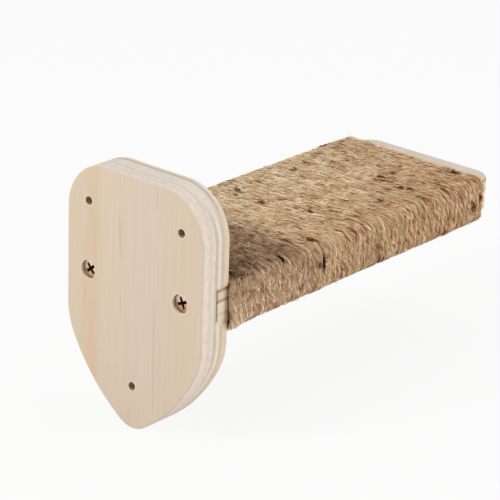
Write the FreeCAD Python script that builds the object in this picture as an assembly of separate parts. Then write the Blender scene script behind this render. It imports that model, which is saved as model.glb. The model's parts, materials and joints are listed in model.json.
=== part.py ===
# A wall-mounted step for a cat climbing wall: a shield-shaped plywood plate that is screwed to
# the wall, a tread board let into a housing across the plate's front, two screws through the
# plate into the board's end, and a rope wound over the board.
#
# Millimetres. The wall is the plane y = 0 and the step stands out from it along -Y. +Z is up,
# z = 0 is half way up the tread board's thickness, and x = 0 is the plane of symmetry.

import FreeCAD, Part

import math
import os

from FreeCAD import Vector

# Plate outline, heights counted from the middle of the tread
plate_width = 100.0
plate_thickness = 21.0
plate_top_height = 64.0
plate_tip_depth = 84.0
top_corner_radius = 29.0
side_end_depth = 21.5
shoulder_radius = 41.0
flank_radius = 110.0
tip_radius = 16.0
plate_edge_radius = 1.0

# Holes for the wall screws, countersunk at the front
wall_hole_diameter = 5.0
wall_hole_spacing = 68.0
upper_hole_height = 41.5
lower_hole_depth = 58.5
wall_sink_diameter = 9.0

# Tread board, as wide as the plate
tread_width = plate_width
tread_length = 255.5
tread_thickness = 21.0
tread_edge_radius = 2.5
tread_end_edge_radius = 1.0
tread_end_radius = 13.5

# Housing for the board's end across the front of the plate
housing_depth = 10.0
housing_clearance = 0.15

# Screws that hold the board, countersunk heads sunk below the plate's wall face
screw_spacing = 68.0
screw_height = 1.1
screw_length = 50.0
screw_shank_diameter = 5.0
screw_head_diameter = 10.0
screw_head_sink = 2.0
screw_point_length = 5.0
head_bore_diameter = 11.0
shank_clearance = 0.25
pilot_extra_depth = 2.0
cross_slot_length = 6.0
cross_slot_width = 1.3
cross_slot_depth = 2.6
cross_turn_left_deg = 40.0
cross_turn_right_deg = 24.0

# Rope winding. Each loop carries two turns of the rope side by side as one faceted band, flat
# against the board and with a ridge for each turn, so that there are two ridges for every loop
rope_diameter = 4.5
turn_overlap = 0.3
winding_length = 226.5
winding_loops = 24
rope_end_run = 9.0
least_rope_gap = 0.4

# Angle of every countersink, and how far a cutting tool runs past what it cuts
countersink_angle_deg = 90.0
cut_overrun = 5.0

half_width = plate_width / 2
sink_slope = math.tan(math.radians(countersink_angle_deg / 2))
housing_floor_y = housing_depth - plate_thickness
tread_end_y = housing_floor_y - tread_length


def plan_point(radius, centre, direction):
    """Point of a circle, in the XZ plane, on the side that the direction names."""
    return centre + direction * (radius / direction.Length)


def arc_between(centre, radius, start, end):
    """Arc of a circle from one point to another by the shorter way round."""
    middle = plan_point(radius, centre, (start - centre) + (end - centre))
    return Part.Arc(start, middle, end).toShape()


def flank_centre(tip_centre, shoulder_centre):
    """Centre of the flank's circle, which touches the tip's and the shoulder's from outside."""
    to_tip = flank_radius - tip_radius
    to_shoulder = flank_radius - shoulder_radius
    between = shoulder_centre - tip_centre
    span = between.Length
    along = (to_tip ** 2 - to_shoulder ** 2 + span ** 2) / (2 * span)
    across = math.sqrt(to_tip ** 2 - along ** 2)
    unit = between / span
    return tip_centre + unit * along + Vector(-unit.z, 0, unit.x) * across


def plate_outline():
    """Closed outline of the shield on the wall plane, made of lines and tangent arcs."""
    tip_centre = Vector(0, 0, tip_radius - plate_tip_depth)
    shoulder_centre = Vector(half_width - shoulder_radius, 0, -side_end_depth)
    corner_centre = Vector(half_width - top_corner_radius, 0, plate_top_height - top_corner_radius)
    flank = flank_centre(tip_centre, shoulder_centre)

    tip_end = plan_point(tip_radius, tip_centre, tip_centre - flank)
    flank_end = plan_point(shoulder_radius, shoulder_centre, shoulder_centre - flank)
    side_end = shoulder_centre + Vector(shoulder_radius, 0, 0)
    corner_start = corner_centre + Vector(top_corner_radius, 0, 0)
    corner_end = corner_centre + Vector(0, 0, top_corner_radius)
    tip_bottom = Vector(0, 0, -plate_tip_depth)
    top_middle = Vector(0, 0, plate_top_height)

    right_half = [
        arc_between(tip_centre, tip_radius, tip_bottom, tip_end),
        arc_between(flank, flank_radius, tip_end, flank_end),
        arc_between(shoulder_centre, shoulder_radius, flank_end, side_end),
        Part.LineSegment(side_end, corner_start).toShape(),
        arc_between(corner_centre, top_corner_radius, corner_start, corner_end),
        Part.LineSegment(corner_end, top_middle).toShape(),
    ]
    left_half = [edge.mirror(Vector(0, 0, 0), Vector(1, 0, 0)) for edge in right_half]
    return Part.Wire(Part.__sortEdges__(right_half + left_half))


def bore(diameter, x, z, y_start, y_end):
    """Round tool along Y between two depths."""
    start = Vector(x, y_start, z)
    return Part.makeCylinder(diameter / 2, y_start - y_end, start, Vector(0, -1, 0))


def cone_tool(wide_diameter, narrow_diameter, x, z, y_wide, outward):
    """Countersink whose wide end lies at a depth, opening towards +Y or -Y."""
    depth = (wide_diameter - narrow_diameter) / 2 / sink_slope
    wide_end = Vector(x, y_wide, z)
    return Part.makeCone(wide_diameter / 2, narrow_diameter / 2, depth, wide_end, outward * -1)


def wall_hole(x, z):
    """Hole for a wall screw, through the plate, with its countersink at the front."""
    hole = bore(wall_hole_diameter, x, z, cut_overrun, -plate_thickness - cut_overrun)
    outward = Vector(0, -1, 0)
    sink = cone_tool(wall_sink_diameter, wall_hole_diameter, x, z, -plate_thickness, outward)
    return hole.fuse(sink)


def screw_hole(x, z):
    """Hole for a tread screw: a bore that sinks the head, the head's seat and the shank's way."""
    head_way = bore(head_bore_diameter, x, z, cut_overrun, -screw_head_sink)
    shank_way_diameter = screw_shank_diameter + 2 * shank_clearance
    outward = Vector(0, 1, 0)
    seat = cone_tool(screw_head_diameter, shank_way_diameter, x, z, -screw_head_sink, outward)
    shank_way = bore(shank_way_diameter, x, z, cut_overrun, housing_floor_y - cut_overrun)
    return head_way.fuse(seat).fuse(shank_way)


def back_plate():
    """Plywood shield with its housing, wall-screw holes and tread-screw holes."""
    blank = Part.Face(plate_outline()).extrude(Vector(0, -plate_thickness, 0))
    faces = [face for face in blank.Faces if is_across_y(face)]
    rims = [edge for face in faces for edge in face.Edges]
    blank = blank.makeFillet(plate_edge_radius, rims)

    housing_height = tread_thickness + 2 * housing_clearance
    housing = Part.makeBox(
        plate_width + 2 * cut_overrun,
        housing_depth + cut_overrun,
        housing_height,
        Vector(-half_width - cut_overrun, -plate_thickness - cut_overrun, -housing_height / 2),
    )
    cuts = [housing, wall_hole(0, -lower_hole_depth)]
    for side in (-1, 1):
        cuts.append(wall_hole(side * wall_hole_spacing / 2, upper_hole_height))
        cuts.append(screw_hole(side * screw_spacing / 2, screw_height))
    return blank.cut(cuts)


def is_across_y(face):
    """True for a flat face that looks straight along Y."""
    if not isinstance(face.Surface, Part.Plane):
        return False
    return abs(face.normalAt(0, 0).y) > math.cos(math.radians(1))


def tread_plan():
    """Outline of the tread board seen from above: square at the plate, round-cornered beyond."""
    half = tread_width / 2
    top = Vector(0, 0, tread_thickness / 2)
    centre_y = tread_end_y + tread_end_radius
    near_left = Vector(-half, housing_floor_y, 0) + top
    near_right = Vector(half, housing_floor_y, 0) + top
    right_centre = Vector(half - tread_end_radius, centre_y, 0) + top
    left_centre = Vector(tread_end_radius - half, centre_y, 0) + top
    away = Vector(0, -tread_end_radius, 0)
    across = Vector(tread_end_radius, 0, 0)
    edges = [
        Part.LineSegment(near_left, near_right).toShape(),
        Part.LineSegment(near_right, right_centre + across).toShape(),
        arc_between(right_centre, tread_end_radius, right_centre + across, right_centre + away),
        Part.LineSegment(right_centre + away, left_centre + away).toShape(),
        arc_between(left_centre, tread_end_radius, left_centre + away, left_centre - across),
        Part.LineSegment(left_centre - across, near_left).toShape(),
    ]
    return Part.Wire(edges)


def tread_board():
    """Plywood board with eased edges and the two pilot holes in its end."""
    board = with_eased_rims(Part.Face(tread_plan()).extrude(Vector(0, 0, -tread_thickness)))
    pilot_end_y = -screw_head_sink - screw_length - pilot_extra_depth
    for side in (-1, 1):
        x = side * screw_spacing / 2
        start_y = housing_floor_y + cut_overrun
        board = board.cut(bore(screw_shank_diameter, x, screw_height, start_y, pilot_end_y))
    return board


def with_eased_rims(blank):
    """The board with rounded rims, whose radius narrows round the far corners."""
    document = FreeCAD.newDocument("easing")
    base = document.addObject("Part::Feature", "Blank")
    base.Shape = blank
    easing = document.addObject("Part::Fillet", "Easing")
    easing.Base = base
    easing.Edges = [
        (
            number,
            easing_at(edge.valueAt(edge.FirstParameter)),
            easing_at(edge.valueAt(edge.LastParameter)),
        )
        for number, edge in enumerate(blank.Edges, start=1)
        if is_eased(edge)
    ]
    document.recompute()
    return easing.Shape


def easing_at(point):
    """Radius of the rim at a point of it: full along the sides, less across the far end."""
    at_far_end = point.y < tread_end_y + tread_end_radius / 2
    return tread_end_edge_radius if at_far_end else tread_edge_radius


def is_eased(edge):
    """True for the rims of the board's broad faces, except across the end in the housing."""
    box = edge.BoundBox
    on_broad_face = box.ZLength < tread_edge_radius / 2
    at_housing = box.YMin > housing_floor_y - tread_edge_radius / 2
    return on_broad_face and not at_housing


def cross_recess(x, z, turn_deg):
    """Cross recess of a screw head: two slots that taper to a point."""
    half_length = cross_slot_length / 2
    half_slot = cross_slot_width / 2
    slots = []
    for turn in (turn_deg, turn_deg + 90):
        corners = [
            Vector(-half_length, cut_overrun, -half_slot),
            Vector(half_length, cut_overrun, -half_slot),
            Vector(half_length, 0, -half_slot),
            Vector(0, -cross_slot_depth, -half_slot),
            Vector(-half_length, 0, -half_slot),
        ]
        outline = Part.makePolygon(corners + corners[:1])
        slot = Part.Face(outline).extrude(Vector(0, 0, cross_slot_width))
        slot.rotate(Vector(0, 0, 0), Vector(0, 1, 0), turn)
        slots.append(slot)
    recess = slots[0].fuse(slots[1])
    recess.translate(Vector(x, -screw_head_sink, z))
    return recess


def tread_screw(x, turn_deg):
    """Countersunk wood screw, its thread left as a plain shank, pointing along -Y."""
    head_radius = screw_head_diameter / 2
    shank_radius = screw_shank_diameter / 2
    cone_depth = (head_radius - shank_radius) / sink_slope
    profile = [
        Vector(0, 0, 0),
        Vector(head_radius, 0, 0),
        Vector(shank_radius, -cone_depth, 0),
        Vector(shank_radius, screw_point_length - screw_length, 0),
        Vector(0, -screw_length, 0),
    ]
    outline = Part.makePolygon(profile + profile[:1])
    screw = Part.Face(outline).revolve(Vector(0, 0, 0), Vector(0, 1, 0), 360)
    screw.translate(Vector(x, -screw_head_sink, screw_height))
    return screw.cut(cross_recess(x, screw_height, turn_deg))


def tread_screws():
    """Both tread screws."""
    x = screw_spacing / 2
    screws = [tread_screw(x, cross_turn_left_deg), tread_screw(-x, cross_turn_right_deg)]
    return Part.makeCompound(screws)


# The rope's middle runs round the board at half a rope's thickness from its faces
rope_radius = rope_diameter / 2
band_width = 2 * rope_diameter - turn_overlap
bend_radius = tread_edge_radius + rope_radius
run_x = tread_width / 2 - tread_edge_radius
run_z = tread_thickness / 2 - tread_edge_radius
reach_x = tread_width / 2 + rope_radius
reach_z = tread_thickness / 2 + rope_radius
loop_pitch = (winding_length - band_width) / (winding_loops - 1)
ridge_spacing = loop_pitch / 2
first_loop_y = -plate_thickness - band_width / 2


class Run:
    """One stretch of the rope's middle line: a straight line or an arc."""

    def __init__(self, start, end, middle=None):
        self.start = start
        self.end = end
        self.middle = middle

    def edge(self):
        if self.middle is None:
            return Part.LineSegment(self.start, self.end).toShape()
        return Part.Arc(self.start, self.middle, self.end).toShape()


def corner(y, centre_x, centre_z, start_direction, end_direction):
    """Quarter turn of the rope round one long edge of the board."""
    centre = Vector(centre_x, y, centre_z)
    start = centre + start_direction * bend_radius
    end = centre + end_direction * bend_radius
    middle = plan_point(bend_radius, centre, start_direction + end_direction)
    return Run(start, end, middle)


def loop_over_board(y):
    """Runs of one loop at a fixed distance from the wall: up one side, over and down the other."""
    left = Vector(-1, 0, 0)
    right = Vector(1, 0, 0)
    up = Vector(0, 0, 1)
    down = Vector(0, 0, -1)
    return [
        corner(y, -run_x, -run_z, down, left),
        Run(Vector(-reach_x, y, -run_z), Vector(-reach_x, y, run_z)),
        corner(y, -run_x, run_z, left, up),
        Run(Vector(-run_x, y, reach_z), Vector(run_x, y, reach_z)),
        corner(y, run_x, run_z, up, right),
        Run(Vector(reach_x, y, run_z), Vector(reach_x, y, -run_z)),
        corner(y, run_x, -run_z, right, down),
    ]


def crossing(y):
    """Two arcs under the board that carry the rope one pitch on, to the next loop."""
    half_run = run_x
    half_step = loop_pitch / 2
    radius = (half_run ** 2 + half_step ** 2) / (2 * half_step)
    turn = math.asin(half_run / radius)
    rise_x = radius * math.sin(turn / 2)
    rise_y = radius * (1 - math.cos(turn / 2))
    start = Vector(run_x, y, -reach_z)
    end = Vector(-run_x, y - loop_pitch, -reach_z)
    middle = (start + end) / 2
    return [
        Run(start, middle, start + Vector(-rise_x, -rise_y, 0)),
        Run(middle, end, end + Vector(rise_x, rise_y, 0)),
    ]


def winding_runs():
    """Every run of the rope, from its end beside the plate to its end near the tread's end."""
    first_y = first_loop_y
    last_y = first_loop_y - loop_pitch * (winding_loops - 1)
    runs = [
        Run(Vector(rope_end_run - run_x, first_y, -reach_z), Vector(-run_x, first_y, -reach_z))
    ]
    for number in range(winding_loops):
        y = first_loop_y - loop_pitch * number
        runs += loop_over_board(y)
        if number < winding_loops - 1:
            runs += crossing(y)
    runs.append(
        Run(Vector(run_x, last_y, -reach_z), Vector(run_x - rope_end_run, last_y, -reach_z))
    )
    return runs


def band_section(start):
    """Outline of the band, across X, where the winding starts under the board."""
    half_band = band_width / 2
    ridge = ridge_spacing / 2
    corners = [
        start + Vector(0, -half_band, rope_radius),
        start + Vector(0, half_band, rope_radius),
        start + Vector(0, ridge, -rope_radius),
        start,
        start + Vector(0, -ridge, -rope_radius),
    ]
    return Part.makePolygon(corners + corners[:1])


def rope_wrap():
    """The rope as one unbroken tube."""
    runs = winding_runs()
    path = Part.Wire([run.edge() for run in runs])
    section = band_section(runs[0].start)
    rope = path.makePipeShell([section], True, False)
    print_rope_facts(runs, path, section, rope)
    return rope


def band_edge_points(runs):
    """Points along the band's two edges on the board, each with its distance along the rope."""
    along = 0
    wall_side = []
    far_side = []
    for run in runs:
        edge = run.edge()
        count = math.ceil(edge.Length / rope_radius)
        for number in range(count):
            distance = edge.Length * number / count
            parameter = edge.getParameterByLength(distance)
            tangent = edge.tangentAt(parameter)
            under_board = run.start.z == -reach_z and run.end.z == -reach_z
            sideways = Vector(-tangent.y, tangent.x, 0) if under_board else Vector(0, -1, 0)
            on_board = edge.valueAt(parameter) + tangent.cross(sideways) * rope_radius
            far_side.append((along + distance, on_board + sideways * (band_width / 2)))
            wall_side.append((along + distance, on_board - sideways * (band_width / 2)))
        along += edge.Length
    return wall_side, far_side


def rope_self_gap(runs):
    """Least gap between one loop's far edge and the next loop's edge on the wall's side."""
    loop_length = sum(run.edge().Length for run in loop_over_board(0) + crossing(0))
    wall_side, far_side = band_edge_points(runs)
    least = loop_length
    first = 1
    for distance, point in far_side:
        while first < len(wall_side) and wall_side[first][0] < distance + loop_length / 2:
            first += 1
        for index in range(first, len(wall_side)):
            other_distance, other_point = wall_side[index]
            if other_distance > distance + loop_length * 3 / 2:
                break
            to_edge = point.distanceToLineSegment(wall_side[index - 1][1], other_point)
            least = min(least, to_edge.Length)
    return least


def print_rope_facts(runs, path, section, rope):
    """Print the rope's least gap to itself and its volume beside that of its section."""
    gap = rope_self_gap(runs)
    verdict = "wider than" if gap > least_rope_gap else "NOT wider than"
    swept = Part.Face(section).Area * path.Length
    print(f"rope: {winding_loops} loops, {path.Length:.0f} mm long, bends of {bend_radius:.2f} mm")
    print(f"rope: least gap to itself {gap:.2f} mm, {verdict} {least_rope_gap} mm")
    print(f"rope: volume {rope.Volume:.0f} mm3, section times length {swept:.0f} mm3")


def export_nodes():
    """Write one STEP file for each node."""
    os.makedirs("parts", exist_ok=True)
    nodes = {
        "back_plate": back_plate(),
        "tread_board": tread_board(),
        "tread_screws": tread_screws(),
        "rope_wrap": rope_wrap(),
    }
    for name, shape in nodes.items():
        print(f"{name}: {len(shape.Solids)} solids, {shape.Volume:.0f} mm3, valid {shape.isValid()}")
        shape.exportStep(f"parts/{name}.step")


export_nodes()
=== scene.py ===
# A wall-mounted step for a cat climbing wall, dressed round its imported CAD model. It follows the
# step as it is put together: camera, plate, board, screws, rope, loose fibres, then the studio.
# Metres throughout, in the row's frame: the wall is y = 0 and the board reaches out along -Y.

import json
import math

import bpy
import numpy as np
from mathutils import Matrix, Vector

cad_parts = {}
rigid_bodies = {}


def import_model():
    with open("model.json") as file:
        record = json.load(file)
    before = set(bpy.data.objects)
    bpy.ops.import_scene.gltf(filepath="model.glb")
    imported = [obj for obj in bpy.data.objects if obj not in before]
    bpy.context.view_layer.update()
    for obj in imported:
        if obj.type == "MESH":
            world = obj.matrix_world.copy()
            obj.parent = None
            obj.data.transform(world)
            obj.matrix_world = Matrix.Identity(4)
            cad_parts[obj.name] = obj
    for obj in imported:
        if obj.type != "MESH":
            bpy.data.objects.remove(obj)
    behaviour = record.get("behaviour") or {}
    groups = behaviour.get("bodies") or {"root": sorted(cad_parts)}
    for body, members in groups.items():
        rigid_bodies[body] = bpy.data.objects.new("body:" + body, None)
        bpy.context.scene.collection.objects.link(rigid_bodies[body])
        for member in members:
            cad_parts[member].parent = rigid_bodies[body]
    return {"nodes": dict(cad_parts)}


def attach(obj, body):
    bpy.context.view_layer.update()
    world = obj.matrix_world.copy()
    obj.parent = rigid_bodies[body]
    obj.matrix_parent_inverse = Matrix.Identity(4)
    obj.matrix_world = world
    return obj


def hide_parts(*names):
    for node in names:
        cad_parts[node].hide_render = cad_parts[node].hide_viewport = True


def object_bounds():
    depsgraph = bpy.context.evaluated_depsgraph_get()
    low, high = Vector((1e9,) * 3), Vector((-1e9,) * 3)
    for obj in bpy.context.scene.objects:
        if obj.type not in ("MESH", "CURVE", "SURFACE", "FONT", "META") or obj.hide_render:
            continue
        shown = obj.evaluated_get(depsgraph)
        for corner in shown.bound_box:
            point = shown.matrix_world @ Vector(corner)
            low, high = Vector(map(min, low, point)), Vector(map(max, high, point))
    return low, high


for leftover in list(bpy.data.objects):
    bpy.data.objects.remove(leftover, do_unlink=True)

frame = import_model()
bpy.context.view_layer.update()
cad_low, cad_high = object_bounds()
MM = 0.001

# Camera. A long lens looks down on the step from behind the wall, so that the plate's wall face
# is nearest and the board runs away to the right. Its place comes from a fit to the photograph's
# corners and holes; the picture is square, so the 36 mm sensor gives its width and its height.
camera_turn_deg = (68.072, -1.923, -139.2175)
camera_data = bpy.data.cameras.new("camera")
camera_data.lens = 166.18
camera_data.sensor_fit = "HORIZONTAL"
camera_data.sensor_width = 36.0
camera_data.clip_start = 0.05
camera_data.clip_end = 50.0
camera = bpy.data.objects.new("camera", camera_data)
camera.location = (-0.7864, 0.8400, 0.4870)
camera.rotation_euler = [math.radians(angle) for angle in camera_turn_deg]
bpy.context.collection.objects.link(camera)
bpy.context.scene.camera = camera

# Back plate. Seven-ply plywood sawn to a shield and sanded, bare. The wall face is pale
# rotary-cut pine with its grain upright; round the edge the plies show as light long grain and
# darker end grain. Its holes are drilled, which scorches their walls and chips the veneer pale.
plate = frame["nodes"]["back_plate"]
plate_thickness = 21 * MM
plate_pale = "#DDCCB9"
plate_warm = "#DBC8B0"
# Where each ply begins, in mm from the wall face, and its colour: on the edges that face along
# X, then on those that face up or down
plate_plies_at_side = [
    (0.0, "#E7D9CA"),
    (4.5, "#DCD0C2"),
    (7.6, "#E2D7CA"),
    (9.4, "#CCBFAF"),
    (11.9, "#E5DACC"),
    (14.3, "#CFBDA7"),
    (16.7, "#DECBB3"),
]
plate_plies_at_top = [
    (0.0, "#E3D6C9"),
    (2.8, "#DDD2C7"),
    (5.4, "#E3D8CC"),
    (7.2, "#D5CABF"),
    (9.0, "#E0D4C8"),
    (16.2, "#C3B5A7"),
    (18.4, "#E1D6CC"),
]
# X and Z of the holes' middles in mm
wall_holes = [(34, 41.5), (-34, 41.5), (0, -58.5)]
screw_bores = [(34, 1.1), (-34, 1.1)]


def linear(hex_colour):
    """Linear colour of an sRGB hex value."""
    channels = [int(hex_colour[place : place + 2], 16) / 255 for place in (1, 3, 5)]
    toe, toe_slope, offset, power = 0.04045, 12.92, 0.055, 2.4
    return tuple(
        c / toe_slope if c <= toe else ((c + offset) / (1 + offset)) ** power for c in channels
    ) + (1.0,)


def add(tree, kind, settings=None, inputs=None, stops=None):
    """Add a shader node, set its properties and colour stops, and set or link its inputs."""
    node = tree.nodes.new("ShaderNode" + kind)
    for name, value in (settings or {}).items():
        setattr(node, name, value)
    for name, value in (inputs or {}).items():
        if isinstance(value, bpy.types.NodeSocket):
            tree.links.new(value, node.inputs[name])
        else:
            node.inputs[name].default_value = value
    for number, (place, colour) in enumerate(stops or []):
        elements = node.color_ramp.elements
        element = elements[number] if number < len(elements) else elements.new(place)
        element.position = place
        element.color = linear(colour)
    return node


def new_material(name):
    """An empty material, its node tree and its output node."""
    material = bpy.data.materials.new(name)
    material.use_nodes = True
    material.node_tree.nodes.clear()
    return material, material.node_tree, add(material.node_tree, "OutputMaterial")


def bare_plywood(tree, ply_axis, grain_axis, ply_looks, thickness, first_side, pale, warm):
    """Colour, grain height and share of broad face of sanded plywood.

    The plies change along one axis, from one broad face to the other, and wander a little as
    knife-cut veneers do. A ply shows long grain on one edge and darker end grain on the next, so
    there are two looks: for edges that face along X, and for the others. Real pores are 0.05 mm
    wide and too fine to show, so they are drawn as wide as a ring of wood.
    """
    wander = 0.12 * MM
    wander_length = 11.1 * MM
    soft_edge = 0.16 * MM
    saw_mark_size = 2.86 * MM
    band_width = 41 * MM
    pore_width = 1.43 * MM
    pore_length = 62.5 * MM
    line_width = 6.5 * MM
    line_break_length = 33 * MM
    # From where to where an edge or a face takes its look, as the normal's share along an axis
    edge_from, edge_to = 0.6, 1.0
    face_from, face_to = 0.6, 0.85

    where = add(tree, "TexCoord").outputs["Object"]
    drift = add(
        tree, "TexNoise", inputs={"Vector": where, "Scale": 1 / wander_length, "Detail": 1.0}
    )
    place = add(tree, "SeparateXYZ", inputs={"Vector": where}).outputs[ply_axis]
    moved = add(
        tree,
        "Math",
        {"operation": "MULTIPLY_ADD"},
        {0: drift.outputs["Fac"], 1: 2 * wander, 2: place},
    ).outputs[0]
    share = add(
        tree,
        "MapRange",
        inputs={
            "Value": moved,
            "From Min": first_side + wander,
            "From Max": first_side + wander - thickness,
        },
    )
    looks = []
    for plies in ply_looks:
        stops = []
        for (depth, colour), (next_depth, _) in zip(plies, plies[1:] + [(None, None)]):
            first = (depth * MM + soft_edge) / thickness if depth else 0.0
            last = (next_depth * MM - soft_edge) / thickness if next_depth else 1.0
            stops += [(first, colour), (last, colour)]
        look = add(tree, "ValToRGB", inputs={"Fac": share.outputs["Result"]}, stops=stops)
        looks.append(look.outputs[0])
    normal = add(tree, "NewGeometry").outputs["Normal"]
    sideways = add(tree, "SeparateXYZ", inputs={"Vector": normal}).outputs["X"]
    at_side = add(tree, "Math", {"operation": "ABSOLUTE"}, {0: sideways})
    side_share = add(
        tree,
        "MapRange",
        inputs={"Value": at_side.outputs[0], "From Min": edge_from, "From Max": edge_to},
    )
    ply = add(
        tree,
        "Mix",
        {"data_type": "RGBA"},
        {0: side_share.outputs["Result"], 6: looks[1], 7: looks[0]},
    )
    saw_marks = add(
        tree, "TexNoise", inputs={"Vector": where, "Scale": 1 / saw_mark_size, "Detail": 4.0}
    )
    saw_shade = add(
        tree,
        "ValToRGB",
        inputs={"Fac": saw_marks.outputs["Fac"]},
        stops=[(0.3, "#F6F2EC"), (0.6, "#FFFFFF")],
    )
    edge = add(
        tree,
        "Mix",
        {"data_type": "RGBA", "blend_type": "MULTIPLY"},
        {0: 1.0, 6: ply.outputs[2], 7: saw_shade.outputs[0]},
    )

    # Broad bands of spring and summer wood, then fine pores, then a few short dark lines. All
    # three lie on coordinates in which a pore is 1 wide and 1 long
    grain = [1 / (pore_length if axis == grain_axis else pore_width) for axis in "XYZ"]
    along = add(tree, "Mapping", inputs={"Vector": where, "Scale": grain}).outputs[0]
    bands = add(
        tree,
        "TexNoise",
        inputs={"Vector": along, "Scale": pore_width / band_width, "Distortion": 0.6},
    )
    pores = add(tree, "TexNoise", inputs={"Vector": along, "Scale": 1.0, "Detail": 5.0})
    lines = add(
        tree,
        "TexNoise",
        inputs={"Vector": along, "Scale": pore_width / line_width, "Detail": 2.0},
    )
    band_shade = add(
        tree, "ValToRGB", inputs={"Fac": bands.outputs["Fac"]}, stops=[(0.36, pale), (0.68, warm)]
    )
    pore_shade = add(
        tree,
        "ValToRGB",
        inputs={"Fac": pores.outputs["Fac"]},
        stops=[(0.25, "#FAF8F5"), (0.6, "#FFFFFF")],
    )
    line_shade = add(
        tree,
        "ValToRGB",
        inputs={"Fac": lines.outputs["Fac"]},
        stops=[(0.62, "#FFFFFF"), (0.65, "#F0E8DF"), (0.68, "#FFFFFF")],
    )
    breaks = add(
        tree, "TexNoise", inputs={"Vector": where, "Scale": 1 / line_break_length, "Detail": 1.0}
    )
    line_share = add(
        tree,
        "MapRange",
        inputs={"Value": breaks.outputs["Fac"], "From Min": 0.5, "From Max": 0.62},
    )
    face = band_shade.outputs[0]
    for amount, shade in ((1.0, pore_shade), (line_share.outputs["Result"], line_shade)):
        face = add(
            tree,
            "Mix",
            {"data_type": "RGBA", "blend_type": "MULTIPLY"},
            {0: amount, 6: face, 7: shade.outputs[0]},
        ).outputs[2]

    facing = add(tree, "SeparateXYZ", inputs={"Vector": normal}).outputs[ply_axis]
    squareness = add(tree, "Math", {"operation": "ABSOLUTE"}, {0: facing})
    on_face = add(
        tree,
        "MapRange",
        inputs={"Value": squareness.outputs[0], "From Min": face_from, "From Max": face_to},
    ).outputs["Result"]
    colour = add(
        tree, "Mix", {"data_type": "RGBA"}, {0: on_face, 6: edge.outputs[2], 7: face}
    ).outputs[2]
    return colour, pores.outputs["Fac"], on_face


def near_holes(tree, centres, radius, softness):
    """Share from 0 to 1 of being within a radius of any hole's axis, which run along Y."""
    where = add(tree, "TexCoord").outputs["Object"]
    flat = add(tree, "Mapping", inputs={"Vector": where, "Scale": (1, 0, 1)}).outputs[0]
    nearest = 1.0
    for x, z in centres:
        away = add(
            tree, "VectorMath", {"operation": "DISTANCE"}, {0: flat, 1: (x * MM, 0, z * MM)}
        )
        nearest = add(
            tree, "Math", {"operation": "MINIMUM"}, {0: nearest, 1: away.outputs["Value"]}
        ).outputs[0]
    return add(
        tree,
        "MapRange",
        inputs={
            "Value": nearest,
            "From Min": radius,
            "From Max": radius + softness,
            "To Min": 1.0,
            "To Max": 0.0,
        },
    ).outputs["Result"]


def wood_shader(tree, output, colour, height):
    """Bare sanded wood's surface: matt, with the grain just felt."""
    grain_relief = 0.1 * MM
    bump = add(
        tree, "Bump", inputs={"Strength": 0.10, "Distance": grain_relief, "Height": height}
    )
    shader = add(
        tree,
        "BsdfPrincipled",
        inputs={
            "Base Color": colour,
            "Roughness": 0.62,
            "IOR": 1.5,
            "Normal": bump.outputs["Normal"],
        },
    )
    tree.links.new(shader.outputs["BSDF"], output.inputs["Surface"])


plate_material, tree, output = new_material("sanded_pine_plywood_plate")
plate_looks = (plate_plies_at_side, plate_plies_at_top)
colour, grain_height, on_face = bare_plywood(
    tree, "Y", "Z", plate_looks, plate_thickness, 0.0, plate_pale, plate_warm
)

# A warmer streak of the figure runs up through the holes at +X and wavers as it goes
streak_first_x = -44 * MM
streak_last_x = 56 * MM
streak_waver = 12 * MM
streak_wave_width = 16.7 * MM
streak_wave_length = 71.4 * MM
wave_scale = (1 / streak_wave_width, 1 / streak_wave_width, 1 / streak_wave_length)
where = add(tree, "TexCoord").outputs["Object"]
stretched = add(tree, "Mapping", inputs={"Vector": where, "Scale": wave_scale}).outputs[0]
waves = add(tree, "TexNoise", inputs={"Vector": stretched, "Scale": 1.0, "Detail": 2.0})
across_face = add(tree, "SeparateXYZ", inputs={"Vector": where}).outputs["X"]
wavy = add(
    tree,
    "Math",
    {"operation": "MULTIPLY_ADD"},
    {0: waves.outputs["Fac"], 1: streak_waver, 2: across_face},
)
streak_share = add(
    tree,
    "MapRange",
    inputs={"Value": wavy.outputs[0], "From Min": streak_first_x, "From Max": streak_last_x},
)
streak = add(
    tree,
    "ValToRGB",
    inputs={"Fac": streak_share.outputs["Result"]},
    stops=[
        (0.0, "#FFFFFF"),
        (0.45, "#FFFFFF"),
        (0.74, "#FFFEFA"),
        (0.80, "#FEF6E9"),
        (0.85, "#FEF5E8"),
        (0.89, "#FFFDF8"),
        (1.0, "#FFFDF6"),
    ],
)
colour = add(
    tree,
    "Mix",
    {"data_type": "RGBA", "blend_type": "MULTIPLY"},
    {0: on_face, 6: colour, 7: streak.outputs[0]},
).outputs[2]

# The drill has chipped the veneer pale round the holes and scorched their walls. The sunk holes'
# walls are pale near the face and darken beside the screws' heads, a painted shade at the bottom of
# the hole
chipped_rings = [
    # Holes, radius of the pale ring and width of its soft edge in mm
    (screw_bores, 5.55, 0.7),
    (wall_holes, 2.6, 0.6),
]
hole_looks = [
    # Holes, radius that takes in their walls in mm, and the walls' colours from the face inwards
    (wall_holes, 2.75, [(0.0, "#C8AB86"), (0.3, "#BF9F79")]),
    # The last two stops of the sunk holes are a painted shade beside the screw's head
    (screw_bores, 5.6, [(0.0, "#F8EEDF"), (0.6, "#F0E2CC"), (0.9, "#A48E70"), (1.0, "#65543F")]),
]
screw_bore_depth = 2 * MM
wall_starts_y = -0.05 * MM
wall_blend = 0.1 * MM
wall_softness = 0.25 * MM
for holes, radius, softness in chipped_rings:
    chipped = near_holes(tree, holes, radius * MM, softness * MM)
    colour = add(
        tree, "Mix", {"data_type": "RGBA"}, {0: chipped, 6: colour, 7: linear("#E8DBCA")}
    ).outputs[2]
depth = add(tree, "SeparateXYZ", inputs={"Vector": where}).outputs["Y"]
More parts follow.
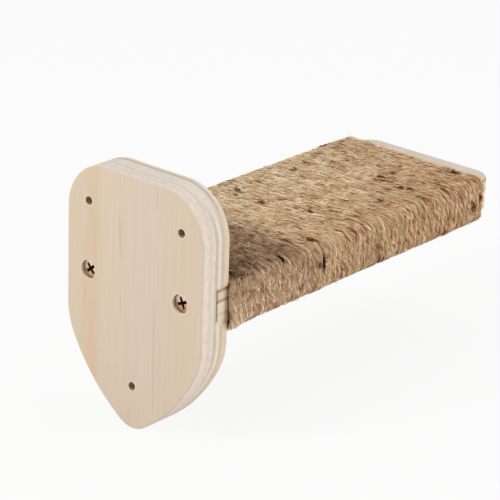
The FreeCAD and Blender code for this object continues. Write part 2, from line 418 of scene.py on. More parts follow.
below_face = add(
    tree,
    "MapRange",
    inputs={
        "Value": depth,
        "From Min": wall_starts_y,
        "From Max": wall_starts_y - screw_bore_depth,
    },
)
in_hole = add(
    tree,
    "MapRange",
    inputs={"Value": depth, "From Min": wall_starts_y, "From Max": wall_starts_y - wall_blend},
)
for holes, radius, stops in hole_looks:
    inside = near_holes(tree, holes, radius * MM, wall_softness)
    hole_wall = add(
        tree, "Math", {"operation": "MULTIPLY"}, {0: inside, 1: in_hole.outputs["Result"]}
    )
    shade = add(tree, "ValToRGB", inputs={"Fac": below_face.outputs["Result"]}, stops=stops)
    colour = add(
        tree,
        "Mix",
        {"data_type": "RGBA"},
        {0: hole_wall.outputs[0], 6: colour, 7: shade.outputs[0]},
    ).outputs[2]
wood_shader(tree, output, colour, grain_height)
plate.material_slots[0].material = plate_material

# Tread board. The same plywood, cut 100 mm wide and 255.5 mm long. It is glued into the plate's
# housing, so its plies lie flat; only its far end and a sliver at each side stay bare. Glue has
# darkened the joint. The last of the sliver beside the rope, the wood under the rope and a strip
# past its far end carry a painted shade of the rope.
board = frame["nodes"]["tread_board"]
board_thickness = 21 * MM
board_half_width = 50 * MM
board_half_thickness = board_thickness / 2
board_edge_radius = 2.5 * MM
board_pale = "#D9CFC2"
board_warm = "#D3C2AC"
# Where each ply begins, in mm below the top, and its colour; the first 2 mm are painted dark, a
# painted shade of the board's rounded top edge
board_plies_and_edge_shade = [
    (0.0, "#B3946F"),
    (2.0, "#E0D0B9"),
    (6.0, "#BCA082"),
    (8.1, "#E8DAC6"),
    (13.6, "#D9C8AD"),
    (15.6, "#E4D5BE"),
]
housing_floor_y = -11 * MM
glue_and_shade_length = 250 * MM
# The glue line's shade, then the painted shade of the rope, along the board, by distance from the
# housing's floor in mm
glue_line_and_rope_shade = [
    (0.0, "#7E6549"),
    (0.75, "#9A8162"),
    (1.5, "#FFFFFF"),
    (8.5, "#FFFFFF"),
    # From 8.5 mm on: painted shade beside the rope, under it and just past its far end
    (10.5, "#A58B70"),
    (235.0, "#A58B70"),
    (238.25, "#E2CDB3"),
    (246.25, "#FFFFFF"),
]
board_material, tree, output = new_material("sanded_pine_plywood_board")
board_looks = (board_plies_and_edge_shade, board_plies_and_edge_shade)
colour, grain_height, on_face = bare_plywood(
    tree, "Z", "Y", board_looks, board_thickness, board_half_thickness, board_pale, board_warm
)
where = add(tree, "TexCoord").outputs["Object"]
reach = add(tree, "SeparateXYZ", inputs={"Vector": where}).outputs["Y"]
past_housing = add(
    tree,
    "MapRange",
    inputs={
        "Value": reach,
        "From Min": housing_floor_y,
        "From Max": housing_floor_y - glue_and_shade_length,
    },
)
glue_and_rope_shade = add(
    tree,
    "ValToRGB",
    inputs={"Fac": past_housing.outputs["Result"]},
    stops=[(distance * MM / glue_and_shade_length, shade) for distance, shade in glue_line_and_rope_shade],
)
colour = add(
    tree,
    "Mix",
    {"data_type": "RGBA", "blend_type": "MULTIPLY"},
    {0: 1.0, 6: colour, 7: glue_and_rope_shade.outputs[0]},
).outputs[2]
wood_shader(tree, output, colour, grain_height)
board.material_slots[0].material = board_material

# The board's long edges are rounded in the housing too. Wood glue, squeezed out of the joint and
# wiped level with the plate's sides, fills the corner that this leaves under the board. It has
# dried to a cloudy cream, smoother than the wood
glue_cloud_size = 3.85 * MM
glue_material, tree, output = new_material("dried_wood_glue")
where = add(tree, "TexCoord").outputs["Object"]
cloud = add(
    tree, "TexNoise", inputs={"Vector": where, "Scale": 1 / glue_cloud_size, "Detail": 3.0}
)
shade = add(
    tree,
    "ValToRGB",
    inputs={"Fac": cloud.outputs["Fac"]},
    stops=[(0.35, "#C6B191"), (0.6, "#E0D0B7")],
)
shader = add(
    tree,
    "BsdfPrincipled",
    inputs={"Base Color": shade.outputs[0], "Roughness": 0.45, "IOR": 1.5},
)
tree.links.new(shader.outputs["BSDF"], output.inputs["Surface"])


def mesh_piece(name, points, faces, material, smooth=True):
    """A mesh object of the step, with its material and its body."""
    mesh = bpy.data.meshes.new(name)
    mesh.from_pydata(points.reshape(-1, 3).tolist(), [], faces)
    mesh.polygons.foreach_set("use_smooth", [smooth] * len(mesh.polygons))
    mesh.update()
    mesh.materials.append(material)
    piece = bpy.data.objects.new(name, mesh)
    bpy.context.collection.objects.link(piece)
    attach(piece, "root")
    return piece


housing_lip_z = -10.64 * MM
bead_sink = 0.05 * MM
bead_steps = 8
turn = np.linspace(math.pi, 1.5 * math.pi, bead_steps)
bead_x = board_edge_radius - board_half_width + board_edge_radius * np.cos(turn)
bead_z = board_edge_radius - board_half_thickness + board_edge_radius * np.sin(turn)
bead_x = np.append(bead_x, [bead_x[-1], bead_x[0] + bead_sink])
bead_z = np.append(bead_z, [housing_lip_z, housing_lip_z])
bead_corners = len(bead_x)
for side, mirror in (("left", -1), ("right", 1)):
    rims = [
        np.stack([-mirror * bead_x, np.full(bead_corners, y), bead_z], 1)
        for y in (housing_floor_y - bead_sink, bead_sink - plate_thickness)
    ]
    # Listed so that every face looks outwards, and turned over for the mirrored bead
    faces = [
        (n, n + bead_corners, (n + 1) % bead_corners + bead_corners, (n + 1) % bead_corners)
        for n in range(bead_corners)
    ]
    faces += [tuple(range(bead_corners)), tuple(reversed(range(bead_corners, 2 * bead_corners)))]
    if mirror > 0:
        faces = [face[::-1] for face in faces]
    mesh_piece(
        f"glue_bead_{side}", np.array(rims), faces, glue_material, smooth=False
    )

# Tread screws. Two countersunk wood screws of zinc-plated steel, sunk 2 mm below the wall face.
# The passivated plating is smooth and slightly cloudy, in coppery, olive and pink tints. Up each
# head these are set coppery at its foot, then olive, and pink at its top: a painted shade and
# reflection. The pressed cross recesses are black with oil and painted shade.
screws = frame["nodes"]["tread_screws"]
screw_z = 1.1 * MM
head_gradient_half_height = 4.5 * MM
plating_cloud_size = 1.667 * MM
cloud_strength = 0.8
# X of each screw in mm, and the turn of its recess in degrees
recess_turns = [(34, 40), (-34, 24)]
recess_starts_y = -2.03 * MM
recess_blend = 0.09 * MM
recess_shade_half_length = 3.1 * MM
recess_shade_half_width = 0.78 * MM
screw_material, tree, output = new_material("coppery_zinc_plated_steel")
where = add(tree, "TexCoord").outputs["Object"]
cloud = add(tree, "TexNoise", inputs={"Vector": where, "Scale": 1 / plating_cloud_size})
height = add(tree, "SeparateXYZ", inputs={"Vector": where}).outputs["Z"]
up_the_head = add(
    tree,
    "MapRange",
    inputs={
        "Value": height,
        "From Min": screw_z - head_gradient_half_height,
        "From Max": screw_z + head_gradient_half_height,
    },
)
mixed = add(
    tree,
    "Math",
    {"operation": "MULTIPLY_ADD"},
    {0: cloud.outputs["Fac"], 1: cloud_strength, 2: up_the_head.outputs["Result"]},
)
# Brown at a head's foot to pale pink at its top: a painted shade and reflection, stirred by the
# plating's cloud
tint_and_painted_shade = add(
    tree,
    "ValToRGB",
    inputs={"Fac": mixed.outputs[0]},
    stops=[(0.35, "#B07F5E"), (0.62, "#DCAF95"), (0.82, "#BBA770"), (1.0, "#EBC9BE")],
)
sheen = add(
    tree,
    "MapRange",
    inputs={"Value": cloud.outputs["Fac"], "To Min": 0.25, "To Max": 0.42},
)
depth = add(tree, "SeparateXYZ", inputs={"Vector": where}).outputs["Y"]
in_recess = add(
    tree,
    "MapRange",
    inputs={
        "Value": depth,
        "From Min": recess_starts_y,
        "From Max": recess_starts_y - recess_blend,
    },
)

# How far off the nearest arm of a recess is, where 1 is the edge of the painted shade round the arm
far_off = 2.0
nearest_arm = far_off
for x, turn in recess_turns:
    centre = (x * MM, 0, screw_z)
    turned = add(
        tree,
        "VectorRotate",
        {"rotation_type": "Y_AXIS"},
        {"Vector": where, "Center": centre, "Angle": -math.radians(turn)},
    )
    offset = add(
        tree, "VectorMath", {"operation": "SUBTRACT"}, {0: turned.outputs[0], 1: centre}
    )
    away = add(tree, "VectorMath", {"operation": "ABSOLUTE"}, {0: offset.outputs[0]})
    axes = add(tree, "SeparateXYZ", inputs={"Vector": away.outputs[0]}).outputs
    for along, over in (("X", "Z"), ("Z", "X")):
        lengthwise = add(
            tree, "Math", {"operation": "DIVIDE"}, {0: axes[along], 1: recess_shade_half_length}
        )
        widthwise = add(tree, "Math", {"operation": "DIVIDE"}, {0: axes[over], 1: recess_shade_half_width})
        arm = add(
            tree,
            "Math",
            {"operation": "MAXIMUM"},
            {0: lengthwise.outputs[0], 1: widthwise.outputs[0]},
        )
        nearest_arm = add(
            tree, "Math", {"operation": "MINIMUM"}, {0: nearest_arm, 1: arm.outputs[0]}
        ).outputs[0]
shade_round_recess = add(
    tree,
    "MapRange",
    inputs={
        "Value": nearest_arm,
        "From Min": 1.0,
        "From Max": 1.3,
        "To Min": 1.0,
        "To Max": 0.0,
    },
)
# Oil in the recess and a painted shade, drawn a little wider than the recess round each arm
oil_and_painted_shade = add(
    tree,
    "Math",
    {"operation": "MAXIMUM"},
    {0: in_recess.outputs["Result"], 1: shade_round_recess.outputs["Result"]},
)
recess_roughness = 0.8
metal_colour = add(
    tree,
    "Mix",
    {"data_type": "RGBA"},
    {0: oil_and_painted_shade.outputs[0], 6: tint_and_painted_shade.outputs[0], 7: linear("#2B211B")},
)
roughness = add(
    tree,
    "Mix",
    inputs={0: oil_and_painted_shade.outputs[0], 2: sheen.outputs["Result"], 3: recess_roughness},
)
steel = add(
    tree,
    "BsdfPrincipled",
    inputs={
        "Base Color": metal_colour.outputs[2],
        "Metallic": 1.0,
        "Roughness": roughness.outputs[0],
    },
)
tree.links.new(steel.outputs["BSDF"], output.inputs["Surface"])
screws.material_slots[0].material = screw_material

# Rope. Natural jute, three strands laid left-handed into a 4.5 mm rope, wound tight round the
# board in 52 turns and glued. Each turn steps on to the next under the board, where it is hidden.
# The turns slip a little away from the wall at the side at -X and lean at +X, as wound by hand.
rope_diameter = 4.5 * MM
rope_radius = rope_diameter / 2
winding_turns = 52
winding_start_y = -21 * MM
winding_length = 227.8 * MM
turn_pitch = (winding_length - rope_diameter) / (winding_turns - 1)
last_turn_sag = 2.0 * MM
last_turn_lean = 1.6 * MM
lap_over_joint = 1.7 * MM
lap_sharpness = 4
fanned_turns = 6
rope_end_run = 17 * MM

corner_radius = board_edge_radius + rope_radius
flat_half_x = board_half_width - board_edge_radius
flat_half_z = board_half_thickness - board_edge_radius
corner_run = corner_radius * math.pi / 2
side_run = 2 * flat_half_z
broad_run = 2 * flat_half_x
loop_run = 4 * corner_run + 2 * side_run + 2 * broad_run
under_start = loop_run - broad_run


def round_the_board(travel):
    """Place and outward direction, both (x, z), of the rope's middle at a travel round a loop.

    A loop starts at the lower corner at -X, climbs the side, crosses the top to +X, comes down
    and ends with the run back under the board.
    """
    travel = np.mod(travel, loop_run)
    place = np.zeros((len(travel), 2))
    outward = np.zeros((len(travel), 2))
    begin = 0.0
    rounding_slack = 0.001 * MM
    corners = [
        # Middle of the corner, angle at which the rope meets it, and the flat that follows
        (-flat_half_x, -flat_half_z, 270, side_run),
        (-flat_half_x, flat_half_z, 180, broad_run),
        (flat_half_x, flat_half_z, 90, side_run),
        (flat_half_x, -flat_half_z, 0, broad_run),
    ]
    for x, z, first_angle, run in corners:
        here = (travel >= begin) & (travel < begin + corner_run)
        angle = math.radians(first_angle) - (travel[here] - begin) / corner_radius
        turned = np.stack([np.cos(angle), np.sin(angle)], 1)
        outward[here] = turned
        place[here] = np.array([x, z]) + turned * corner_radius
        begin += corner_run
        here = (travel >= begin) & (travel < begin + run + rounding_slack)
        last = math.radians(first_angle - 90)
        facing = np.array([math.cos(last), math.sin(last)])
        ahead = np.array([facing[1], -facing[0]])
        outward[here] = facing
        along = (travel[here] - begin)[:, None]
        place[here] = np.array([x, z]) + facing * corner_radius + ahead * along
        begin += run
    return place, outward


def slip_at(place, outward, share_of_winding):
    """How far the turns slip away from the wall, more with each turn.

    They sag on the side at -X, and lean a little from the board's middle line towards +X.
    """
    sag = last_turn_sag * np.clip(-outward[:, 0], 0, 1)
    lean = last_turn_lean * np.clip(place[:, 0] / flat_half_x, 0, 1)
    return (sag + lean) * share_of_winding


def lap_at(outward, turns_from_plate):
    """How far the first turns fan out towards the wall at -X, where they lap over the joint."""
    facing_side = np.clip(-outward[:, 0], 0, 1) ** lap_sharpness
    return lap_over_joint * facing_side * np.clip(1 - turns_from_plate / fanned_turns, 0, 1)


def eased(share):
    """A share from 0 to 1 that starts and stops gently."""
    return share * share * (3 - 2 * share)


step_along = 1.1 * MM
travel_end = loop_run * (winding_turns - 1) + under_start + rope_end_run
travel = np.arange(-rope_end_run, travel_end, step_along)
rope_steps = len(travel)
place, outward = round_the_board(travel)
turn_number = np.floor(travel / loop_run)
under = np.clip((travel - turn_number * loop_run - under_start) / broad_run, 0, 1)
under[turn_number < 0] = 0
under[turn_number > winding_turns - 2] = 0
turns_done = np.clip(turn_number, 0, None) + eased(under)
middle_y = winding_start_y - rope_radius - turn_pitch * turns_done
middle_y -= slip_at(place, outward, turns_done / winding_turns)
middle_y += lap_at(outward, turns_done)

# The rope's first end is tucked under the first three turns at the lower corner at -X
tuck_bulge = 2.2 * MM
tuck_reach = 9 * MM
tuck_turns = 2.6
from_corner = (travel + loop_run / 2) % loop_run - loop_run / 2 - corner_run / 2
bulge = np.exp(-((from_corner / tuck_reach) ** 2)) * np.clip(1 - turns_done / tuck_turns, 0, 1)

# Hand winding leaves the turns uneven, the first one least, as it is laid against the plate
sideways_wobble = 0.34 * MM
sideways_wobble_length = 44 * MM
outward_wobble = 0.20 * MM
outward_wobble_length = 27.5 * MM
first_turn_share = 0.3
winding_seed = 7
spare_knots = 4


def smooth_noise(length, rng):
    """Random values from -1 to 1 for the rope's steps that change smoothly over a length."""
    spacing = round(length / step_along)
    knots = rng.uniform(-1, 1, rope_steps // spacing + spare_knots)
    at = np.arange(rope_steps) / spacing
    low = at.astype(int)
    share = eased(at - low)
    return knots[low] * (1 - share) + knots[low + 1] * share


rng = np.random.default_rng(winding_seed)
wobble_y = sideways_wobble * smooth_noise(sideways_wobble_length, rng)
wobble_out = outward_wobble * smooth_noise(outward_wobble_length, rng) + tuck_bulge * bulge
wobble_y[turns_done < 1] *= first_turn_share
out = np.stack([outward[:, 0], np.zeros(rope_steps), outward[:, 1]], 1)
middle = np.stack([place[:, 0], middle_y + wobble_y, place[:, 1]], 1) + out * wobble_out[:, None]
across = np.array([0.0, -1.0, 0.0])


def coloured_by_place(tree, colour):
    """A jute colour changed by where it lies on the winding.

    The rope is palest near the plate at +X and browner towards the far end at -X. The top of the
    first turns near the side at -X is darkened in a patch with a ragged edge, a painted shadow of
    the plate.
    """
    browner_per_metre = (-8.0, -2.4, 0.0)
    patch_middle = (-34 * MM, -28 * MM, 18 * MM)
    patch_size = (85 * MM, 62 * MM, 12.5 * MM)
    ragged_edge_size = 6.67 * MM
    raggedness = 0.9

    where = add(tree, "TexCoord").outputs["Object"]
    towards_far_end = add(
        tree, "VectorMath", {"operation": "DOT_PRODUCT"}, {0: where, 1: browner_per_metre}
    )
    browner = add(
        tree,
        "ValToRGB",
        inputs={"Fac": towards_far_end.outputs["Value"]},
        stops=[(0.0, "#FFFFFF"), (0.5, "#FCF5F0"), (0.8, "#F0E2D7")],
    )
    place = add(
        tree,
        "Mapping",
        {"vector_type": "TEXTURE"},
        {"Vector": where, "Location": patch_middle, "Scale": patch_size},
    )
    from_middle = add(tree, "VectorMath", {"operation": "LENGTH"}, {0: place.outputs[0]})
    ragged = add(
        tree, "TexNoise", inputs={"Vector": where, "Scale": 1 / ragged_edge_size, "Detail": 3.0}
    )
    distance = add(
        tree,
        "Math",
        {"operation": "MULTIPLY_ADD"},
        {0: ragged.outputs["Fac"], 1: raggedness, 2: from_middle.outputs["Value"]},
    )
    # Painted shadow of the plate on the top of the first turns
    painted_plate_shadow = add(
        tree,
        "ValToRGB",
        inputs={"Fac": distance.outputs[0]},
        stops=[(0.71, "#70553F"), (1.0, "#FFFFFF")],
    )
    for shade in (browner, painted_plate_shadow):
        colour = add(
            tree,
            "Mix",
            {"data_type": "RGBA", "blend_type": "MULTIPLY"},
            {0: 1.0, 6: colour, 7: shade.outputs[0]},
        ).outputs[2]
    return colour


# Jute's surface: dull, with long fibres that run nearly along the rope, in browns from straw to
# rust. Real fibres are 0.05 mm wide and wouldn't show at this size, so the streaks are drawn
# 0.5 mm wide and more
coarse_streak_length = 18.18 * MM
coarse_streak_width = 1.05 * MM
fine_streak_length = 7.7 * MM
fine_streak_width = 0.5 * MM
brown_patch_size = 9.1 * MM
fibre_relief = 0.35 * MM
rope_material, tree, output = new_material("natural_jute_rope")
strand_map = add(tree, "UVMap", {"uv_map": "along_strand"}).outputs["UV"]
coarse_scale = (1 / coarse_streak_length, 1 / coarse_streak_width, 1)
fine_scale = (1 / fine_streak_length, 1 / fine_streak_width, 1)
coarse_map = add(tree, "Mapping", inputs={"Vector": strand_map, "Scale": coarse_scale})
fine_map = add(tree, "Mapping", inputs={"Vector": strand_map, "Scale": fine_scale})
coarse = add(
    tree, "TexNoise", inputs={"Vector": coarse_map.outputs[0], "Scale": 1.0, "Detail": 3.0}
)
fine = add(tree, "TexNoise", inputs={"Vector": fine_map.outputs[0], "Scale": 1.0, "Detail": 3.0})
coarse_shade = add(
    tree,
    "ValToRGB",
    inputs={"Fac": coarse.outputs["Fac"]},
    stops=[(0.31, "#A07C5B"), (0.44, "#EAD2B3"), (0.61, "#FFFFF4")],
)
fine_shade = add(
    tree,
    "ValToRGB",
    inputs={"Fac": fine.outputs["Fac"]},
    stops=[(0.32, "#AC9076"), (0.5, "#F8F0E6"), (0.66, "#FFFFFF")],
)
where = add(tree, "TexCoord").outputs["Object"]
patches = add(
    tree, "TexNoise", inputs={"Vector": where, "Scale": 1 / brown_patch_size, "Detail": 3.0}
)
patch_shade = add(
    tree,
    "ValToRGB",
    inputs={"Fac": patches.outputs["Fac"]},
    stops=[(0.30, "#A88664"), (0.38, "#F8E4D8"), (0.48, "#FFFEFC"), (0.66, "#FDFAEC")],
)

jute = coloured_by_place(tree, coarse_shade.outputs[0])
for shade in (fine_shade, patch_shade):
    jute = add(
        tree,
        "Mix",
        {"data_type": "RGBA", "blend_type": "MULTIPLY"},
        {0: 1.0, 6: jute, 7: shade.outputs[0]},
    ).outputs[2]
bump = add(
    tree,
    "Bump",
    inputs={"Strength": 1.0, "Distance": fibre_relief, "Height": coarse.outputs["Fac"]},
)
shader = add(
    tree,
    "BsdfPrincipled",
    inputs={
        "Base Color": jute,
        "Roughness": 0.95,
        "Specular IOR Level": 0.1,
        "Normal": bump.outputs["Normal"],
    },
)
tree.links.new(shader.outputs["BSDF"], output.inputs["Surface"])


def tube_quads(rings, sides):
    """Quads of a tube whose points lie ring by ring."""
    ring = np.arange(rings - 1)[:, None] * sides
    side = np.arange(sides)[None, :]
    after = (side + 1) % sides
    quads = np.stack([ring + side, ring + after, ring + sides + after, ring + sides + side], 2)
    return quads.reshape(-1, 4)


# The strands: each is a lumpy tube that turns round the rope's middle line. Its lay wanders, and
# its thickness swells and thins, as in rope spun from rough yarn
strand_count = 3
lay_length = 19 * MM
lay_wander = 0.5
lay_wander_length = 17.6 * MM
strand_middle_radius = 1.12 * MM
strand_radius = 1.12 * MM
strand_widening = 1.14
strand_sides = 7
swell_share = 0.12
swell_length = 7.7 * MM
lump_share = 0.09
fibre_twist = 0.42
strand_girth = 2 * math.pi * strand_radius
section = math.pi + np.arange(strand_sides) * 2 * math.pi / strand_sides
quads = tube_quads(rope_steps, strand_sides)
ends = [
    tuple(range(strand_sides - 1, -1, -1)),
    tuple(range((rope_steps - 1) * strand_sides, rope_steps * strand_sides)),
]
for strand in range(strand_count):
    turn = -2 * math.pi * travel / lay_length + strand * 2 * math.pi / strand_count
    turn += lay_wander * smooth_noise(lay_wander_length, rng)
    radial = np.cos(turn)[:, None] * out + np.sin(turn)[:, None] * across
    tangential = -np.sin(turn)[:, None] * out + np.cos(turn)[:, None] * across
    swell = strand_radius * (1 + swell_share * smooth_noise(swell_length, rng))
    lumps = 1 + lump_share * rng.uniform(-1, 1, (rope_steps, strand_sides))
    reach = swell[:, None] * lumps
    outwards = strand_middle_radius + reach * np.cos(section)
    sideways = strand_widening * reach * np.sin(section)
    points = middle[:, None, :] + radial[:, None, :] * outwards[:, :, None]
    points += tangential[:, None, :] * sideways[:, :, None]
    piece = mesh_piece(
        f"rope_strand_{strand + 1}", points, quads.tolist() + ends, rope_material
    )

    # The map that the streaks lie on: metres along the rope, and round the strand with its twist
    layer = piece.data.uv_layers.new(name="along_strand")
    corner_points = np.zeros(len(piece.data.loops), int)
    piece.data.loops.foreach_get("vertex_index", corner_points)
    ring, side = np.divmod(corner_points, strand_sides)
    quad_corner = np.arange(len(corner_points)) % 4
    closes_round = (side == 0) & ((quad_corner == 1) | (quad_corner == 2))
    share_round = np.where(closes_round, strand_sides, side) / strand_sides
    across_strand = share_round * strand_girth + travel[ring] * fibre_twist
    layer.data.foreach_set("uv", np.stack([travel[ring], across_strand], 1).ravel())
    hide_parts("rope_wrap")

# Loose fibres. Jute frays as it is twisted: fine dull ends lie over the turns or stand a little
# proud, with shreds of dark or rusty bark, and beside the plate they lie matted. Real ones are
# 0.1 mm thick or less and too fine to show, so they are drawn 0.25 mm thick and more.
fibre_kinds = [
    # Name, number, number in a clump, thickness, least and most length, scatter of direction,
    # curl, lift, and the light and dark colour, in mm and radians
    ("bleached", 5001, 3, 0.25, 6, 17, 0.3, 0.9, 0.16, "#FFF1D1", "#EAD4AC"),
    ("straw", 5000, 5, 0.25, 5, 15, 0.3, 0.7, 0.12, "#F6E0B7", "#DBBE91"),
    ("brown", 3800, 2, 0.25, 4, 10, 0.3, 0.7, 0.10, "#AA7D54", "#7B4F2E"),
    ("bark", 900, 12, 0.32, 2, 5, 0.3, 0.6, 0.18, "#8C5E3C", "#5C3821"),
    ("dark_bark", 240, 20, 0.38, 1.5, 4, 0.2, 0.4, 0.40, "#8A5C3A", "#5A3620"),
    # Black shreds: bark at 41 mm, and at 74 mm a painted shade of a gap between turns
    ("black_bark", 96, 32, 0.42, 1.5, 4, 0.1, 0.3, 0.40, "#5E3F29", "#2E1C10"),
    ("combed", 480, 2, 0.28, 8, 18, 0.22, 0.6, 0.25, "#FFF0DA", "#C9A279"),
    ("matted", 800, 1, 0.34, 6, 16, 1.2, 4.2, 0.40, "#E2C7AD", "#AA8261"),
    ("rust_bark", 140, 20, 0.34, 2, 5, 0.25, 0.5, 0.25, "#B4835E", "#8C5F42"),
]
# Remains of bark that stand out, as travel round the loop and distance from the plate in mm; the
# black ones at 74 mm paint the shade in a gap between two turns
bark_places = {
    "dark_bark": [(90, 98), (113, 103), (61, 107), (18, 71), (67, 183), (48, 177)]
    + [(42, 179), (41, 222), (14, 219), (17, 224), (32, 73), (16, 75)],
    "black_bark": [(21, 74), (18.5, 74), (28, 41)],
    "rust_bark": [(67, 195), (36, 198), (29, 194), (27, 104), (14, 124), (12, 219), (58, 181)],
}
# The combed fibres lie on the side at -X, most of them near the plate, and the matted ones on
# the patch of the top that carries the painted shadow of the plate
combed_run = corner_run + side_run
combed_depth = 75 * MM
combed_crowding = 1.8
mat_past_corner_share = 0.2
mat_start = (1 + mat_past_corner_share) * corner_run + side_run
mat_run = 75 * MM
mat_depth = 58 * MM
fibre_patch_size = 4.17 * MM
fibre_sides = 3
points_along_fibre = 7
points_along_matted_fibre = 13
mean_heading = 0.24
clump_spread = 1.3 * MM
narrow_spread_share = 0.2
usual_spread_share = 0.5
start_inset = 1.5 * MM
least_inset = 0.1 * MM
bow_evenness = 1.6
stray_share = 0.03
stray_height = (0.3 * MM, 1.6 * MM)
fibre_bedding = 0.25 * MM
thickness_scatter = (0.6, 1.3)
taper_place_shares = [0, 0.2, 0.7, 1]
taper_thickness_shares = [0.4, 1, 0.9, 0.3]

for kind, count, clump, thickness, shortest, longest, *manner in fibre_kinds:
    scatter, curl, lift, light_colour, dark_colour = manner
    material, tree, output = new_material(f"loose_jute_fibre_{kind}")
    where = add(tree, "TexCoord").outputs["Object"]
    patches = add(tree, "TexNoise", inputs={"Vector": where, "Scale": 1 / fibre_patch_size})
    shade = add(
        tree,
        "ValToRGB",
        inputs={"Fac": patches.outputs["Fac"]},
        stops=[(0.35, dark_colour), (0.65, light_colour)],
    )
    colour = shade.outputs[0] if kind == "matted" else coloured_by_place(tree, shade.outputs[0])
    shader = add(
        tree,
        "BsdfPrincipled",
        inputs={"Base Color": colour, "Roughness": 0.95, "Specular IOR Level": 0.1},
    )
    tree.links.new(shader.outputs["BSDF"], output.inputs["Surface"])

    # Each fibre's line over the winding, as travel round the loop, place along the board and
    # height above the turns
    fibre_points = points_along_matted_fibre if kind == "matted" else points_along_fibre
    share = np.linspace(0, 1, fibre_points)
    taper = np.interp(share, taper_place_shares, taper_thickness_shares)
    length = rng.uniform(shortest, longest, count) * MM
    heading = rng.normal(mean_heading, scatter, count)
    turning = rng.normal(0, curl, count)
    angle = heading[:, None] + turning[:, None] * (share - 0.5)
    advance = (length / fibre_points)[:, None]
    clump_place = rng.uniform(0, 1, (count // clump, 2)).repeat(clump, 0)
    if kind in bark_places:
        clump_place = np.array(bark_places[kind]).repeat(clump, 0) * MM
        clump_place /= (loop_run, winding_length)
    if kind == "combed":
        clump_place[:, 0] *= combed_run / loop_run
        clump_place[:, 1] = clump_place[:, 1] ** combed_crowding * combed_depth / winding_length
    if kind == "matted":
        clump_place[:, 0] = (mat_start + clump_place[:, 0] * mat_run) / loop_run
        clump_place[:, 1] *= mat_depth / winding_length
    round_loop = clump_place[:, 0] * loop_run + rng.normal(0, clump_spread, count) - length / 2
    round_loop = round_loop[:, None] + np.cumsum(np.cos(angle), 1) * advance
    spread_share = narrow_spread_share if kind == "black_bark" else usual_spread_share
    down_winding = clump_place[:, 1] * (winding_length - 2 * start_inset)
    along_board = winding_start_y - start_inset - down_winding
    along_board += rng.normal(0, clump_spread * spread_share, count)
    along_board = along_board[:, None] + np.cumsum(np.sin(angle), 1) * advance
    from_start = winding_start_y - along_board.ravel()
    from_start = np.clip(from_start, least_inset, winding_length - least_inset)
    turns = from_start / turn_pitch
    bow = rng.gamma(bow_evenness, lift, count) * MM
    stray = rng.uniform(*stray_height, count) * (rng.uniform(size=count) < stray_share)
    height = bow[:, None] * np.sin(math.pi * share) + stray[:, None] * share**2 - fibre_bedding
    place, outward = round_the_board(round_loop.ravel())

    # Over the winding's first and last turn the fibres drape down the rope's round side
    from_end = np.minimum(from_start, winding_length - from_start)
    over_edge = np.clip(1 - from_end / rope_radius, 0, 1)
    drape = rope_radius * (1 - np.sqrt(1 - over_edge**2))
    place += outward * (rope_radius + height.ravel() - drape)[:, None]
    y = winding_start_y - from_start
    y += lap_at(outward, turns) - slip_at(place, outward, turns / winding_turns)
    line = np.stack([place[:, 0], y, place[:, 1]], 1).reshape(count, fibre_points, 3)

    # Three-sided tapered tube round each line
    tangent = np.gradient(line, axis=1)
    tangent /= np.linalg.norm(tangent, axis=2, keepdims=True)
    side_one = np.cross(tangent, rng.normal(size=(count, 1, 3)))
    side_one /= np.linalg.norm(side_one, axis=2, keepdims=True)
    side_two = np.cross(tangent, side_one)
    radius = thickness / 2 * MM * taper[None, :] * rng.uniform(*thickness_scatter, (count, 1))
    section = np.arange(fibre_sides) * 2 * math.pi / fibre_sides
    rim_one = radius[:, :, None] * np.cos(section)
    rim_two = radius[:, :, None] * np.sin(section)
    points = line[:, :, None, :] + side_one[:, :, None, :] * rim_one[..., None]
    points += side_two[:, :, None, :] * rim_two[..., None]
    first_point = (np.arange(count) * fibre_points * fibre_sides)[:, None, None]
    quads = (tube_quads(fibre_points, fibre_sides)[None] + first_point).reshape(-1, 4)
    mesh_piece(f"rope_fibres_{kind}", points, quads.tolist(), material)

# Studio. A pale matt floor under the plate's tip and a white surround. One soft lamp stands on
# the wall's side of the plate, high and a little to the left, and throws the plate's shadow on
# the rope; two larger ones, above the board and beyond its side at -X, lighten the rest.
floor_half = 6.0
floor_glow_share = 0.92
floor_mesh = bpy.data.meshes.new("floor")
floor_corners = [(-1, -1), (1, -1), (1, 1), (-1, 1)]
floor_mesh.from_pydata(
    [(x * floor_half, y * floor_half, cad_low.z) for x, y in floor_corners], [], [(0, 1, 2, 3)]
)
floor = bpy.data.objects.new("floor", floor_mesh)
bpy.context.collection.objects.link(floor)


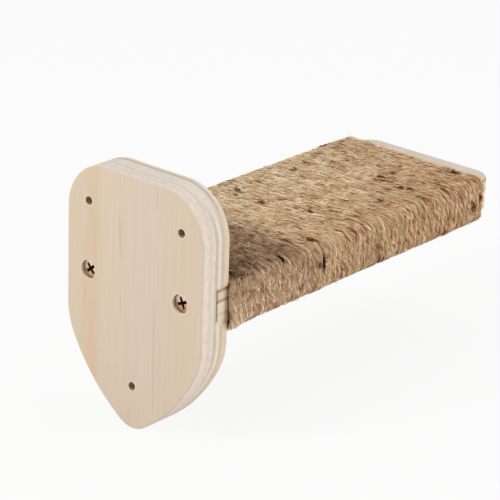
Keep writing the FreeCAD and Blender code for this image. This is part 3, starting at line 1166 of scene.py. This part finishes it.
def seen_directly(tree):
    """1 where a ray comes from the camera, a mirror or glass, to show such rays plain white."""
    path = add(tree, "LightPath").outputs
    seen = add(
        tree, "Math", {"operation": "MAXIMUM"}, {0: path["Is Camera Ray"], 1: path["Is Glossy Ray"]}
    )
    return add(
        tree,
        "Math",
        {"operation": "MAXIMUM"},
        {0: seen.outputs[0], 1: path["Is Transmission Ray"]},
    ).outputs[0]


floor_material, tree, output = new_material("white_studio_floor")
paint = add(tree, "BsdfDiffuse", inputs={"Color": linear("#F4F3F1")})
glow = add(tree, "Emission", inputs={"Color": linear("#FDFDFD"), "Strength": 1.0})
whitened = add(
    tree, "MixShader", inputs={0: floor_glow_share, 1: paint.outputs[0], 2: glow.outputs[0]}
)
surface = add(
    tree,
    "MixShader",
    inputs={0: seen_directly(tree), 1: paint.outputs[0], 2: whitened.outputs[0]},
)
tree.links.new(surface.outputs[0], output.inputs["Surface"])
floor_mesh.materials.append(floor_material)

world = bpy.data.worlds.new("white_surround")
world.use_nodes = True
tree = world.node_tree
tree.nodes.clear()
ambient = add(tree, "Background", inputs={"Color": linear("#FFFFFF"), "Strength": 0.32})
backdrop = add(tree, "Background", inputs={"Color": linear("#FDFDFD"), "Strength": 1.0})
surround = add(
    tree,
    "MixShader",
    inputs={0: seen_directly(tree), 1: ambient.outputs[0], 2: backdrop.outputs[0]},
)
add(tree, "OutputWorld", inputs={"Surface": surround.outputs[0]})
bpy.context.scene.world = world

lamp_target = Vector((0, -0.1, 0))
lamps = [
    # Name, place, side of the square in metres, power in watts
    ("key_lamp", (0.55, 1.35, 1.06), 0.34, 17.1),
    ("top_lamp", (0.1, -0.8, 1.9), 1.0, 9.5),
    ("fill_lamp", (-1.6, -0.75, 0.5), 1.0, 16.6),
]
for name, place, size, power in lamps:
    lamp_data = bpy.data.lights.new(name, "AREA")
    lamp_data.shape = "SQUARE"
    lamp_data.size = size
    lamp_data.energy = power
    lamp = bpy.data.objects.new(name, lamp_data)
    lamp.location = place
    lamp.rotation_mode = "QUATERNION"
    lamp.rotation_quaternion = (lamp_target - Vector(place)).to_track_quat("-Z", "Y")
    bpy.context.collection.objects.link(lamp)

bpy.context.scene.view_settings.view_transform = "Standard"
